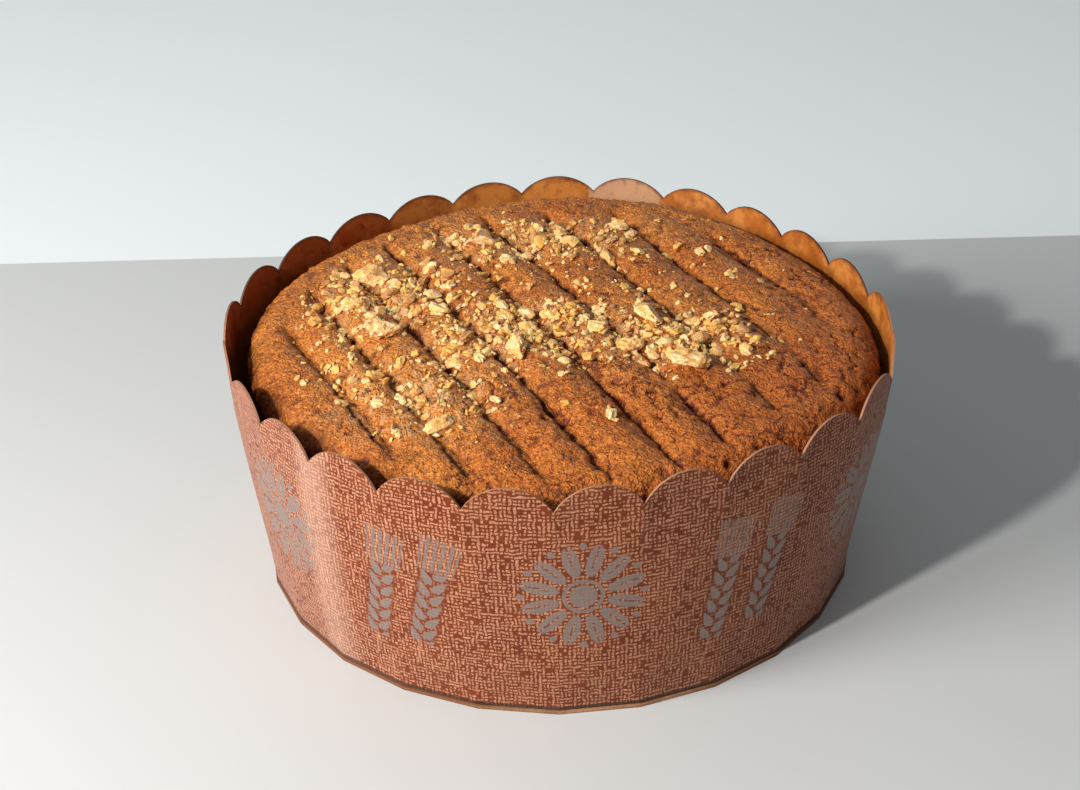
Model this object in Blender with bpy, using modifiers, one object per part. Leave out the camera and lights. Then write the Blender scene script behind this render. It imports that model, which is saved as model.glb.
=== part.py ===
"""Round nut cake in its scalloped paper baking case.

Metres, +Z up. The origin is the middle of the case's underside, and -Y is the side towards the viewer.
"""

import math
import random

import bmesh
import bpy
from mathutils import Matrix, Vector, noise
from mathutils.bvhtree import BVHTree

MM = 0.001
CLEARANCE = 0.3 * MM  # between pieces that touch on the real thing

# Paper case: a wall strip with a scalloped edge, glued to a flat board
SCALLOPS = 25
BOARD_THICKNESS = 0.8 * MM
BOARD_RADIUS = 74.9 * MM
WALL_THICKNESS = 0.5 * MM
WALL_FOOT_RADIUS = 74.5 * MM
WALL_RIM_RADIUS = 80 * MM
WALL_FOOT_Z = BOARD_THICKNESS + CLEARANCE
DIP_Z = 58.6 * MM  # the sharp dips between the scallops
SCALLOP_RISE = 5.3 * MM
SCALLOP_LEAN = 1.0 * MM  # how far a crest leans in
EDGE_LOBES = ((1, 0.6 * MM, math.radians(-85)),)  # the scallops stand a little taller in front
FIRST_DIP = math.radians(-91.5)
CORNER_FADE_Z = 16 * MM  # above this the foot's 25 corners have become a round wall
STEPS_PER_SCALLOP = 8
WALL_LEVELS = 3
# How the soft rim strays from a circle: lobes around, size and direction of each
RIM_LOBES = (
    (2, 1.0 * MM, math.radians(-13)),
    (3, 0.85 * MM, math.radians(-93)),
    (4, 1.3 * MM, math.radians(-60)),
)
FOLD_ANGLE = math.radians(-135)  # a soft upright fold in the paper
FOLD_WIDTH = math.radians(5)
FOLD_RISE = 0.9 * MM

# Cake
CAKE_FOOT_Z = BOARD_THICKNESS + CLEARANCE
CAKE_RADIUS = 77 * MM
CAKE_TOP_Z = 61 * MM  # where the top meets the rounded shoulder
CAKE_LEVELS = (16 * MM, 38 * MM)  # rows of points up the side
CAKE_SEGMENTS = 3 * SCALLOPS
SIDE_GAP = 0.6 * MM  # to the paper, at the foot
SHRINK = 2.6 * MM  # how far the cooled cake has drawn away from the paper at its shoulder
SHRINK_LOBES = ((1, 1.5 * MM, math.radians(-137)),)
SHRINK_FULL_Z = 45 * MM
SHOULDER = 9.5 * MM
SHOULDER_STEPS = 5
CROWN = 3.2 * MM
LUMP_HEIGHT = 0.5 * MM
LUMP_LENGTH = 13 * MM

# The lines scored by hand that make the ridges: how far each passes from the centre
GROOVES = tuple(across * MM for across in (-59, -47, -33, -20, -4.5, 9.5, 26, 42, 58.5))
GROOVE_TURN = math.radians(26)  # the lines' common normal, turned from +X
RIDGE_WIDTH = 14.7 * MM
GROOVE_DEPTH = 3.8 * MM
RIDGE_ROUNDNESS = 2.3
GROOVE_WANDER = 0.7 * MM
WANDER_LENGTHS = (65 * MM, 11 * MM)  # from ridge to ridge, and along a ridge
SCORED_CENTRE = (0.0, -3 * MM)
SCORED_RADIUS = 66 * MM
GROOVE_FADE = 5 * MM
CUTS_BESIDE_GROOVE = (0.1, 0.27)  # shares of the ridges' width
CROSS_CUT_SPACING = 6 * MM

# Walnut pieces that lie loose on the top: x, y, length, width, height, turn in degrees
LOOSE_PIECES = (
    (-46.5, 26, 10.5, 9.0, 5.0, 10),
    (-41.7, -7, 10.5, 7.0, 4.8, 12),
    (-18.5, 41.5, 8.0, 7.0, 5.0, -20),
    (30.5, -25.5, 11.8, 7.0, 4.8, -14),
    (-49.5, 8, 8.6, 6.0, 4.2, 20),
    (-26.6, -46.5, 10.4, 6.0, 4.2, 32),
    (22.5, -4, 11.4, 5.0, 4.4, -64),
    (17, -16.5, 8.4, 5.8, 4.0, 20),
    (-9.5, -18, 10.0, 5.6, 4.2, -80),
    (14, 32, 9.0, 4.4, 4.8, -75),
)
PIECE_SINK = 0.2  # share of its height that a piece reaches into the crust before it is cut to fit
PIECE_UNEVENNESS = 0.09
PIECE_SEED = 7

# Chopped walnut that is stuck to the crust: centre x, y, half length, half width, how many chips
CHIP_PATCHES = (
    (-44, 14, 19, 20, 38),
    (-6, -9, 22, 16, 34),
    (30, -15, 17, 13, 25),
    (-5, 42, 27, 14, 26),
    (-34, -36, 20, 17, 13),
    (0, 5, 58, 52, 9),
)
CHIP_LENGTHS = (3.0 * MM, 6.2 * MM)
CHIP_RARITY = 1.6  # above 1, small chips outnumber large ones
CHIP_WIDTHS = (0.62, 0.85)  # shares of its length
CHIP_HEIGHTS = (0.45, 0.62)
CHIP_TILT = math.radians(25)
CHIP_UNEVENNESS = 0.16
CHIP_SINK = 0.36  # share of its height by which a chip sits in the crust
CHIP_APART = 0.5  # least distance between two chips, as a share of their lengths together
PIECE_APART = 0.6  # the same, from a loose piece
CHIP_CUT_OFF = 62 * MM  # no chips outside this circle
CHIP_TRIES = 40
CHIP_SEED = 25


def smooth_step(share):
    share = min(max(share, 0.0), 1.0)
    return share * share * (3 - 2 * share)


def lobes_at(angle, lobes):
    return sum(size * math.cos(count * angle - turn) for count, size, turn in lobes)


def new_object(name, mesh, collection, material=None):
    made = bpy.data.objects.new(name, mesh)
    collection.objects.link(made)
    if material:
        mesh.materials.append(material)
    return made


def mesh_from(bm, name, smooth_angle=None):
    bmesh.ops.recalc_face_normals(bm, faces=bm.faces)
    mesh = bpy.data.meshes.new(name)
    bm.to_mesh(mesh)
    bm.free()
    if smooth_angle is not None:
        mesh.shade_smooth()
        mesh.set_sharp_from_angle(angle=smooth_angle)
    return mesh


def principled(name, colour, roughness):
    made = bpy.data.materials.new(name)
    made.use_nodes = True
    shader = made.node_tree.nodes["Principled BSDF"]
    shader.inputs["Base Color"].default_value = (*colour, 1.0)
    shader.inputs["Roughness"].default_value = roughness
    shader.inputs["Metallic"].default_value = 0.0
    made.diffuse_color = (*colour, 1.0)
    return made


def corner_pull(angle, corners, start):
    """How much nearer the middle a flat side lies here than its corners, as a share of the radius."""
    half_side = math.pi / corners
    from_side_middle = (angle - start) % (2 * half_side) - half_side
    return 1 - math.cos(half_side) / math.cos(from_side_middle)


def wall_radius(angle, z):
    """The wall's outer radius: a straight-sided foot that opens into a round, slightly wavy rim."""
    share = (z - WALL_FOOT_Z) / (DIP_Z - WALL_FOOT_Z)
    radius = WALL_FOOT_RADIUS + (WALL_RIM_RADIUS - WALL_FOOT_RADIUS) * share
    radius += lobes_at(angle, RIM_LOBES) * smooth_step(share)
    to_fold = (angle - FOLD_ANGLE + math.pi) % (2 * math.pi) - math.pi
    radius += FOLD_RISE * math.exp(-((to_fold / FOLD_WIDTH) ** 2)) * math.sin(math.pi * min(share, 1.0))
    corners = 1 - smooth_step((z - WALL_FOOT_Z) / CORNER_FADE_Z)
    return radius - WALL_FOOT_RADIUS * corner_pull(angle, SCALLOPS, FIRST_DIP) * corners


def scallop(step):
    """Rise of the wall's edge, from 0 in a dip to 1 at the crest: an arc between two sharp dips."""
    across = 2 * step / STEPS_PER_SCALLOP - 1
    half_width = math.pi * WALL_RIM_RADIUS / SCALLOPS
    arc_radius = (half_width**2 + SCALLOP_RISE**2) / (2 * SCALLOP_RISE)
    drop = arc_radius - math.sqrt(arc_radius**2 - (across * half_width) ** 2)
    return 1 - drop / SCALLOP_RISE


def cake_radius(angle, z):
    """The cake fills its case at the foot and has drawn away from the paper higher up."""
    shrink = SHRINK + lobes_at(angle, SHRINK_LOBES)
    gap = SIDE_GAP + shrink * smooth_step((z - CAKE_FOOT_Z) / SHRINK_FULL_Z)
    return wall_radius(angle, min(z, DIP_Z)) - WALL_THICKNESS - gap


def case_wall(collection, material):
    """An open tube of flat faces, raised level by level to the scalloped edge, then given its thickness."""
    steps = SCALLOPS * STEPS_PER_SCALLOP
    bm = bmesh.new()
    bmesh.ops.create_cone(bm, cap_ends=False, segments=steps, radius1=1.0, radius2=1.0, depth=1.0)
    upright = [e for e in bm.edges if abs(e.verts[0].co.z - e.verts[1].co.z) > 0.5]
    bmesh.ops.subdivide_edges(bm, edges=upright, cuts=WALL_LEVELS - 1, use_grid_fill=True)
    bm.verts.ensure_lookup_table()
    first_corner = math.atan2(bm.verts[0].co.y, bm.verts[0].co.x)
    for vert in bm.verts:
        around = math.atan2(vert.co.y, vert.co.x) - first_corner
        step = round(around / (2 * math.pi) * steps) % steps
        level = round((vert.co.z + 0.5) * WALL_LEVELS)
        angle = FIRST_DIP + 2 * math.pi * step / steps
        crest = scallop(step % STEPS_PER_SCALLOP)
        edge_z = DIP_Z + (SCALLOP_RISE + lobes_at(angle, EDGE_LOBES)) * crest
        z = (WALL_FOOT_Z, CORNER_FADE_Z, 0.8 * DIP_Z, edge_z)[level]
        radius = wall_radius(angle, z) - (SCALLOP_LEAN * crest if level == WALL_LEVELS else 0.0)
        vert.co = Vector((radius * math.cos(angle), radius * math.sin(angle), z))
    made = new_object("case_wall", mesh_from(bm, "case_wall", math.radians(40)), collection, material)
    shell = made.modifiers.new("paper thickness", "SOLIDIFY")
    shell.thickness = WALL_THICKNESS
    shell.offset = -1.0
    shell.use_even_offset = True
    return made


def case_board(collection, material):
    """The flat board under the wall, with one straight side for each tab of the wall."""
    bm = bmesh.new()
    turn = Matrix.Rotation(FIRST_DIP, 4, "Z") @ Matrix.Translation((0, 0, BOARD_THICKNESS / 2))
    bmesh.ops.create_cone(
        bm,
        cap_ends=True,
        segments=SCALLOPS,
        radius1=BOARD_RADIUS,
        radius2=BOARD_RADIUS,
        depth=BOARD_THICKNESS,
        matrix=turn @ Matrix.Rotation(-math.pi / 2, 4, "Z"),
    )
    return new_object("case_board", mesh_from(bm, "case_board"), collection, material)


def groove_frame(x, y):
    """Distances across and along the scored lines."""
    across = x * math.cos(GROOVE_TURN) + y * math.sin(GROOVE_TURN)
    along = y * math.cos(GROOVE_TURN) - x * math.sin(GROOVE_TURN)
    return across, along


def groove_share(x, y):
    """0 on top of a ridge, 1 at the bottom of a scored line."""
    across, _ = groove_frame(x, y)
    away = min(abs(across - groove) for groove in GROOVES) / (RIDGE_WIDTH / 2)
    valley = max(0.0, 1 - away) ** RIDGE_ROUNDNESS
    from_centre = math.hypot(x - SCORED_CENTRE[0], y - SCORED_CENTRE[1])
    return valley * smooth_step((SCORED_RADIUS - from_centre) / GROOVE_FADE)


def cake_top(x, y):
    """Height of the cake's top at a point inside the shoulder."""
    flat_radius = CAKE_RADIUS - SHOULDER
    crown = CROWN * (1 - (x * x + y * y) / flat_radius**2)
    lump = LUMP_HEIGHT * noise.noise(Vector((x, y, 0.0)) / LUMP_LENGTH)
    return CAKE_TOP_Z + crown + lump - GROOVE_DEPTH * groove_share(x, y)


def wander(x, y):
    """Sideways drift of the scored lines, which were drawn by hand."""
    _, along = groove_frame(x, y)
    drift = GROOVE_WANDER * noise.noise(Vector((x / WANDER_LENGTHS[0], along / WANDER_LENGTHS[1], 3.0)))
    return Vector((drift * math.cos(GROOVE_TURN), drift * math.sin(GROOVE_TURN), 0.0))


def cut_lines():
    """Where the top is cut so that each ridge and line has its own rows of points: position and direction."""
    beside = [side * share for share in CUTS_BESIDE_GROOVE for side in (-1, 1)]
    for left, right in zip(GROOVES, GROOVES[1:]):
        yield (left + right) / 2, GROOVE_TURN
    for groove in GROOVES:
        for share in [0.0, *beside]:
            yield groove + share * RIDGE_WIDTH, GROOVE_TURN
    reach = int(CAKE_RADIUS / CROSS_CUT_SPACING)
    for step in range(-reach, reach + 1):
        yield step * CROSS_CUT_SPACING, GROOVE_TURN + math.pi / 2


def is_on_top(vert):
    return vert.co.z > CAKE_TOP_Z - 0.01 * MM


def cake_body(collection, material):
    """A round block with a rounded upper edge, whose flat top is cut along the ridges and then raised."""
    bm = bmesh.new()
    height = CAKE_TOP_Z - CAKE_FOOT_Z
    bmesh.ops.create_cone(
        bm,
        cap_ends=True,
        segments=CAKE_SEGMENTS,
        radius1=CAKE_RADIUS,
        radius2=CAKE_RADIUS,
        depth=height,
        matrix=Matrix.Translation((0, 0, CAKE_FOOT_Z + height / 2))
        @ Matrix.Rotation(FIRST_DIP - math.pi / 2, 4, "Z"),
    )
    upper = [e for e in bm.edges if all(is_on_top(v) for v in e.verts)]
    bmesh.ops.bevel(bm, geom=upper, offset=SHOULDER, segments=SHOULDER_STEPS, profile=0.5, affect="EDGES")
    for level in CAKE_LEVELS:
        everything = [*bm.verts, *bm.edges, *bm.faces]
        bmesh.ops.bisect_plane(bm, geom=everything, plane_co=(0, 0, level), plane_no=(0, 0, 1))
    for position, turn in cut_lines():
        normal = Vector((math.cos(turn), math.sin(turn), 0.0))
        top = [f for f in bm.faces if all(is_on_top(v) for v in f.verts)]
        edges = {e for f in top for e in f.edges}
        corners = {v for f in top for v in f.verts}
        bmesh.ops.bisect_plane(bm, geom=[*corners, *edges, *top], plane_co=normal * position, plane_no=normal)
    flat_radius = CAKE_RADIUS - SHOULDER
    for vert in bm.verts:
        x, y, z = vert.co
        radius = math.hypot(x, y)
        angle = math.atan2(y, x)
        fitted = cake_radius(angle, z) / CAKE_RADIUS
        if is_on_top(vert):
            stretch = 1 + (fitted - 1) * smooth_step(radius / flat_radius)
            inner = smooth_step((flat_radius - radius) / GROOVE_FADE)
            vert.co = Vector((x * stretch, y * stretch, cake_top(x, y))) + wander(x, y) * inner
            continue
        vert.co = Vector((x * fitted, y * fitted, z))
    bmesh.ops.triangulate(bm, faces=bm.faces)
    return new_object("cake", mesh_from(bm, "cake", math.radians(35)), collection, material)


def lump_mesh(name, size, turn, place, seed, subdivisions, unevenness):
    """A knobbly nut piece: a rough ball pulled to its size, with its points drawn in and out."""
    draw = random.Random(seed)
    bm = bmesh.new()
    bmesh.ops.create_icosphere(bm, subdivisions=subdivisions, radius=0.5)
    for vert in bm.verts:
        vert.co *= 1 + draw.uniform(-unevenness, unevenness)
    scale = Matrix.Diagonal((*size, 1.0))
    bmesh.ops.transform(bm, matrix=Matrix.Translation(place) @ turn @ scale, verts=bm.verts)
    return mesh_from(bm, name)


def bare_crust(cake):
    """The cake's surface before any nuts lie on it, to be asked for its height."""
    corners = [vert.co.copy() for vert in cake.data.vertices]
    return BVHTree.FromPolygons(corners, [face.vertices for face in cake.data.polygons])


def height_of(crust, x, y):
    return crust.ray_cast(Vector((x, y, 2 * CAKE_TOP_Z)), Vector((0, 0, -1)))[0].z


def loose_piece(number, row, crust, collection, material, cutter):
    """One large walnut piece, cut underneath to the surface that it lies on."""
    x, y, length, width, height = (value * MM for value in row[:5])
    turn = Matrix.Rotation(math.radians(row[5]), 4, "Z")
    place = Vector((x, y, height_of(crust, x, y) + height * (0.5 - PIECE_SINK)))
    name = f"walnut_piece_{number}"
    mesh = lump_mesh(name, (length, width, height), turn, place, PIECE_SEED * number, 2, PIECE_UNEVENNESS)
    made = new_object(name, mesh, collection, material)
    fit = made.modifiers.new("rests on the crust", "BOOLEAN")
    fit.operation = "DIFFERENCE"
    fit.solver = "MANIFOLD"
    fit.object = cutter
    return made


def chip_places():
    """Seeded places, lengths and turns of the stuck chips, largest first, clear of the loose pieces."""
    draw = random.Random(CHIP_SEED)
    wanted = []
    for x, y, half_length, half_width, count in CHIP_PATCHES:
        for _ in range(count):
            wanted.append((x * MM, y * MM, half_length * MM, half_width * MM, draw.random() ** CHIP_RARITY))
    wanted.sort(key=lambda row: -row[4])
    small, large = CHIP_LENGTHS
    taken = [(row[0] * MM, row[1] * MM, row[2] * MM, PIECE_APART) for row in LOOSE_PIECES]
    chips = []
    for x, y, half_length, half_width, rank in wanted:
        length = small + (large - small) * rank
        for _ in range(CHIP_TRIES):
            angle = draw.uniform(0, 2 * math.pi)
            reach = math.sqrt(draw.random())
            px = x + half_length * reach * math.cos(angle)
            py = y + half_width * reach * math.sin(angle)
            free = all(math.dist((px, py), (qx, qy)) > (length + size) * apart for qx, qy, size, apart in taken)
            if free and math.hypot(px, py) < CHIP_CUT_OFF:
                taken.append((px, py, length, CHIP_APART))
                chips.append((px, py, length, draw.uniform(0, 2 * math.pi)))
                break
    return chips


def fuse_chips(cake, crust, chips, scratch):
    """Joins the chips to the crust with one union, then removes them."""
    pile = bpy.data.collections.new("chips")
    scratch.children.link(pile)
    for number, (x, y, length, turn) in enumerate(chips):
        draw = random.Random(CHIP_SEED + number)
        size = (length, length * draw.uniform(*CHIP_WIDTHS), length * draw.uniform(*CHIP_HEIGHTS))
        tilt = Matrix.Rotation(draw.uniform(-CHIP_TILT, CHIP_TILT), 4, "X")
        turned = Matrix.Rotation(turn, 4, "Z") @ tilt
        place = Vector((x, y, height_of(crust, x, y) + size[2] * (0.5 - CHIP_SINK)))
        new_object(f"chip_{number}", lump_mesh("chip", size, turned, place, number, 1, CHIP_UNEVENNESS), pile)
    join = cake.modifiers.new("stuck chips", "BOOLEAN")
    join.operation = "UNION"
    join.operand_type = "COLLECTION"
    join.collection = pile
    join.solver = "MANIFOLD"
    bpy.context.view_layer.update()
    seen = cake.evaluated_get(bpy.context.evaluated_depsgraph_get())
    joined = bpy.data.meshes.new_from_object(seen)
    cake.modifiers.remove(join)
    cake.data = joined
    for chip in list(pile.objects):
        bpy.data.objects.remove(chip)
    bpy.data.collections.remove(pile)


def crust_cutter(cake, scratch):
    """A copy of the bare crust, lifted by the clearance, that fits the loose pieces to the ridges."""
    made = new_object("crust_cutter", cake.data.copy(), scratch)
    made.data.transform(Matrix.Translation((0, 0, 1.2 * CLEARANCE)))
    made.hide_render = True
    made.display_type = "WIRE"
    return made


def build():
    for old in list(bpy.data.objects):
        bpy.data.objects.remove(old)
    parts = bpy.data.collections.new("nut cake")
    cutters = bpy.data.collections.new("cutters")
    for collection in (parts, cutters):
        bpy.context.scene.collection.children.link(collection)
    browned = principled("browned crust", (0.39, 0.15, 0.045), 0.7)
    printed = principled("printed paper", (0.30, 0.12, 0.065), 0.55)
    board = principled("board", (0.45, 0.26, 0.14), 0.75)
    walnut = principled("walnut", (0.76, 0.50, 0.22), 0.5)
    cake = cake_body(parts, browned)
    crust = bare_crust(cake)
    cutter = crust_cutter(cake, cutters)
    fuse_chips(cake, crust, chip_places(), cutters)
    case_wall(parts, printed)
    case_board(parts, board)
    for number, row in enumerate(LOOSE_PIECES, start=1):
        loose_piece(number, row, crust, parts, walnut, cutter)


build()
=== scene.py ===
# %% [markdown]
# # A walnut cake in its printed paper case
# A round butter cake was baked in a flared paper case with a scalloped edge. Nine lines were scored across
# its top, so it rose in long rounded ridges, and chopped walnuts lie scattered over them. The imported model
# comes in first. It fixes where everything sits, and its box is kept so that the finished look can be
# measured against it.

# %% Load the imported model
import random
from math import atan2, cos, degrees, dist, exp, hypot, pi, radians, sin, sqrt

import bmesh
import bpy
import numpy as np
from mathutils import Matrix, Vector, noise
from mathutils.bvhtree import BVHTree


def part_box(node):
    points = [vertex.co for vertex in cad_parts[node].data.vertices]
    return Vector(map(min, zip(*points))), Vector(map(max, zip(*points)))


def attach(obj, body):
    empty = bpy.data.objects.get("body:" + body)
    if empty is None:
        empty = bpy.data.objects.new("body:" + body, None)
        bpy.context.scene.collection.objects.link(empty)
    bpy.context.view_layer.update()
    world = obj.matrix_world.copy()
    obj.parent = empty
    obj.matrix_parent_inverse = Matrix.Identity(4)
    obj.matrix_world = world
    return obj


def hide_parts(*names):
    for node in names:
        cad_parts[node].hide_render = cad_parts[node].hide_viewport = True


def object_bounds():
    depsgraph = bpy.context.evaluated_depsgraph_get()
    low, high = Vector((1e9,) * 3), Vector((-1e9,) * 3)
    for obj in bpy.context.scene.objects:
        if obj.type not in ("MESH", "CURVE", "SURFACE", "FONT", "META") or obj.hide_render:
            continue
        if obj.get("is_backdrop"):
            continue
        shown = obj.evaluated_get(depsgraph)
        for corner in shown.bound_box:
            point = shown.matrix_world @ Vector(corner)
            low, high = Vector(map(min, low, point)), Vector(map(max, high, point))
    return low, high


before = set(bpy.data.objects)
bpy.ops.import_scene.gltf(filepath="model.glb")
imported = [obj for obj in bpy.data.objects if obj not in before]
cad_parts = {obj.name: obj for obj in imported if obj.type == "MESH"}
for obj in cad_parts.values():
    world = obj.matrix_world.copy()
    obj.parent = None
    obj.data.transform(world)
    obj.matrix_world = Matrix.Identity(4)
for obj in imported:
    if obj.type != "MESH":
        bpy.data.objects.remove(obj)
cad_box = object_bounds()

MM = 0.001
print("solids in the frame:", ", ".join(sorted(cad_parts)))

# %% [markdown]
# ## Camera
# The photograph was taken from a little above, with a lens of about 65 mm on a full-frame sensor. The
# camera's place and its three axes were worked out from the dips in the rim and the corners of the base, so
# the camera is given by its axes instead of by angles, which would round them.

# %% Camera
CAMERA_PLACE = (-0.0043, -0.4176, 0.2925)
CAMERA_RIGHT = Vector((0.99964584, -0.01375789, -0.02277987))
CAMERA_UP = Vector((0.02661206, 0.51679624, 0.85569471))


def placed(name, data):
    """A new object in the scene that shows a camera, a lamp or a mesh."""
    made = bpy.data.objects.new(name, data)
    bpy.context.scene.collection.objects.link(made)
    return made


camera_data = bpy.data.cameras.new("camera")
camera_data.sensor_width = 36.0
camera_data.lens = 64.855
camera = placed("camera", camera_data)
axes_of_camera = Matrix((CAMERA_RIGHT, CAMERA_UP, CAMERA_RIGHT.cross(CAMERA_UP)))
camera.matrix_world = Matrix.Translation(CAMERA_PLACE) @ axes_of_camera.transposed().to_4x4()
bpy.context.scene.camera = camera
print("camera stands", round(camera.matrix_world.translation.length, 3), "m from the middle of the base")

# %% [markdown]
# ## Small tools for modelling
# A modelling operator works on everything that is selected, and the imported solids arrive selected. So each
# new piece starts with nothing selected, and faces or edges are then picked in code by where they are.

# %% Modelling tools
def deselect_all():
    for shown in bpy.context.selected_objects:
        shown.select_set(False)


def only(piece):
    deselect_all()
    piece.select_set(True)
    bpy.context.view_layer.objects.active = piece


def named(name):
    """The primitive that was just added, under its own name."""
    piece = bpy.context.active_object
    piece.name = name
    piece.data.name = name
    return piece


def pick(piece, kind, wanted):
    """In edit mode, selects the edges or faces that a test picks, and nothing else."""
    bpy.ops.mesh.select_mode(type=kind)
    bpy.ops.mesh.select_all(action="DESELECT")
    bm = bmesh.from_edit_mesh(piece.data)
    for element in bm.edges if kind == "EDGE" else bm.faces:
        if wanted(element):
            element.select_set(True)
    bmesh.update_edit_mesh(piece.data)


def edit_mode():
    bpy.ops.object.mode_set(mode="EDIT")


def object_mode():
    bpy.ops.object.mode_set(mode="OBJECT")


def apply_modifier(piece, kind, **settings):
    made = piece.modifiers.new(kind.lower(), kind)
    for name, value in settings.items():
        setattr(made, name, value)
    only(piece)
    bpy.ops.object.modifier_apply(modifier=made.name)


def settle(piece):
    """Puts the place and turn of a primitive into its mesh, so that the object itself is at the origin."""
    only(piece)
    bpy.ops.object.transform_apply(location=True, rotation=True, scale=True)


def shade(piece, sharp_from):
    """Smooth shading, except over edges that turn by more than so many degrees."""
    only(piece)
    bpy.ops.object.shade_smooth_by_angle(angle=radians(sharp_from))


def smooth_step(share):
    share = min(max(share, 0.0), 1.0)
    return share * share * (3 - 2 * share)


def report(piece):
    piece.data.calc_loop_triangles()
    size = ", ".join(f"{1000 * side:.1f}" for side in piece.dimensions)
    print(f"{piece.name}: {len(piece.data.loop_triangles)} triangles, {size} mm")


# %% [markdown]
# ## Small tools for materials
# A material is a chain of nodes, and most of its nodes do plain sums. Here a Term holds one output of a
# node and takes part in Python sums, so that a line such as `1 - dark * 0.5` places the Math nodes by
# itself. Colours would lose their hue in a Math node, so they go through the Mix node.

# %% Material tools
def summed(operation):
    """A method that puts a Term, and a second value if there is one, through a Math node."""
    return lambda term, *other: term.sum(operation, term, *other)


class Term:
    """One output of a node, which can be used in sums as a number can."""

    def __init__(self, tree, socket):
        self.tree = tree
        self.socket = socket

    def sum(self, operation, *values):
        return node(self.tree, "ShaderNodeMath", {"operation": operation}, dict(enumerate(values)))

    __add__ = __radd__ = summed("ADD")
    __sub__ = summed("SUBTRACT")
    __mul__ = __rmul__ = summed("MULTIPLY")
    __truediv__ = summed("DIVIDE")
    __mod__ = summed("FLOORED_MODULO")
    __pow__ = summed("POWER")
    __abs__ = summed("ABSOLUTE")
    floor = summed("FLOOR")
    sine = summed("SINE")
    cosine = summed("COSINE")
    bearing = summed("ARCTAN2")
    at_least = summed("MAXIMUM")
    at_most = summed("MINIMUM")

    def __rsub__(self, other):
        return self.sum("SUBTRACT", other, self)

    def ramp(self, low, high):
        """0 below low and 1 above high, with a soft change between them. It falls if low is above high."""
        sockets = {"Value": self, "From Min": min(low, high), "From Max": max(low, high)}
        found = node(self.tree, "ShaderNodeMapRange", {"interpolation_type": "SMOOTHSTEP"}, sockets)
        return found if low < high else 1 - found


def node(tree, kind, settings=None, sockets=None, output=0):
    """Adds a node: its settings first, then a value or a link for each socket. Gives one of its outputs."""
    made = tree.nodes.new(kind)
    for name, value in (settings or {}).items():
        setattr(made, name, value)
    for name, value in (sockets or {}).items():
        socket = made.inputs[name]
        if isinstance(value, Term):
            tree.links.new(value.socket, socket)
        else:
            socket.default_value = value
    return Term(tree, made.outputs[output])


def mixed(share, first, second):
    """The first colour where share is 0 and the second where it is 1."""
    ready = [(*c, 1.0) if isinstance(c, tuple) else c for c in (first, second)]
    sockets = {0: share, 6: ready[0], 7: ready[1]}
    return node(share.tree, "ShaderNodeMix", {"data_type": "RGBA"}, sockets, output=2)


def grain(point, size, detail=2.0, roughness=0.5):
    """Soft noise from 0 to 1 whose lumps are about size millimetres across."""
    sockets = {"Vector": point, "Scale": 1.0 / size, "Detail": detail, "Roughness": roughness}
    return node(point.tree, "ShaderNodeTexNoise", None, sockets)


def in_millimetres(tree):
    """A point of the surface in the object's own frame, in millimetres."""
    place = node(tree, "ShaderNodeTexCoord", output=3)
    return node(tree, "ShaderNodeMapping", None, {"Vector": place, "Scale": (1 / MM,) * 3})


def axes(point):
    """The three coordinates of a point."""
    split = point.tree.nodes.new("ShaderNodeSeparateXYZ")
    point.tree.links.new(point.socket, split.inputs[0])
    return [Term(point.tree, output) for output in split.outputs]


def attribute(tree, name):
    return node(tree, "ShaderNodeAttribute", {"attribute_name": name}, output=2)


def bump(height, depth, before=None):
    """Raises the surface by height, which is from 0 to 1, times depth in millimetres."""
    sockets = {"Height": height, "Distance": depth * MM, "Strength": 1.0}
    if before is not None:
        sockets["Normal"] = before
    return node(height.tree, "ShaderNodeBump", None, sockets)


def opened(made, **fixed):
    """Tree and shader of a material. The fixed values are the same all over the surface."""
    made.use_nodes = True
    shader = made.node_tree.nodes["Principled BSDF"]
    for socket, value in fixed.items():
        shader.inputs[socket.replace("_", " ")].default_value = value
    return made.node_tree, shader


def material(name, **fixed):
    made = bpy.data.materials.new(name)
    return made, *opened(made, **fixed)


def feed(shader, **terms):
    for socket, term in terms.items():
        term.tree.links.new(term.socket, shader.inputs[socket.replace("_", " ")])


# %% [markdown]
# ## The shape of the paper wall
# The case is a strip of thick paper. Its foot is glued to a board in 25 short flats, and it opens to a rim
# of 25 scallops with a sharp dip between them. The soft rim isn't a true circle. These values and functions
# are those of the solid model, so that the finer wall made here lies where the solid one does.

# %% Values of the wall
SCALLOPS = 25
WALL_THICKNESS = 0.5 * MM
WALL_FOOT_RADIUS = 74.5 * MM
WALL_RIM_RADIUS = 80 * MM
WALL_FOOT_Z = 1.1 * MM
DIP_Z = 58.6 * MM
SCALLOP_RISE = 5.3 * MM
SCALLOP_LEAN = 1.0 * MM
TALLER_IN_FRONT = ((1, 0.6 * MM, radians(-85)),)
FIRST_DIP = radians(-91.5)
CORNER_FADE_Z = 16 * MM
RIM_LOBES = (
    (2, 1.0 * MM, radians(-13)),
    (3, 0.85 * MM, radians(-93)),
    (4, 1.3 * MM, radians(-60)),
)
FOLD_ANGLE = radians(-135)
FOLD_WIDTH = radians(5)
FOLD_RISE = 0.9 * MM


def lobes_at(angle, lobes):
    return sum(size * cos(count * angle - turn) for count, size, turn in lobes)


def corner_pull(angle, corners, start):
    half_side = pi / corners
    from_side_middle = (angle - start) % (2 * half_side) - half_side
    return 1 - cos(half_side) / cos(from_side_middle)


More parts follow.
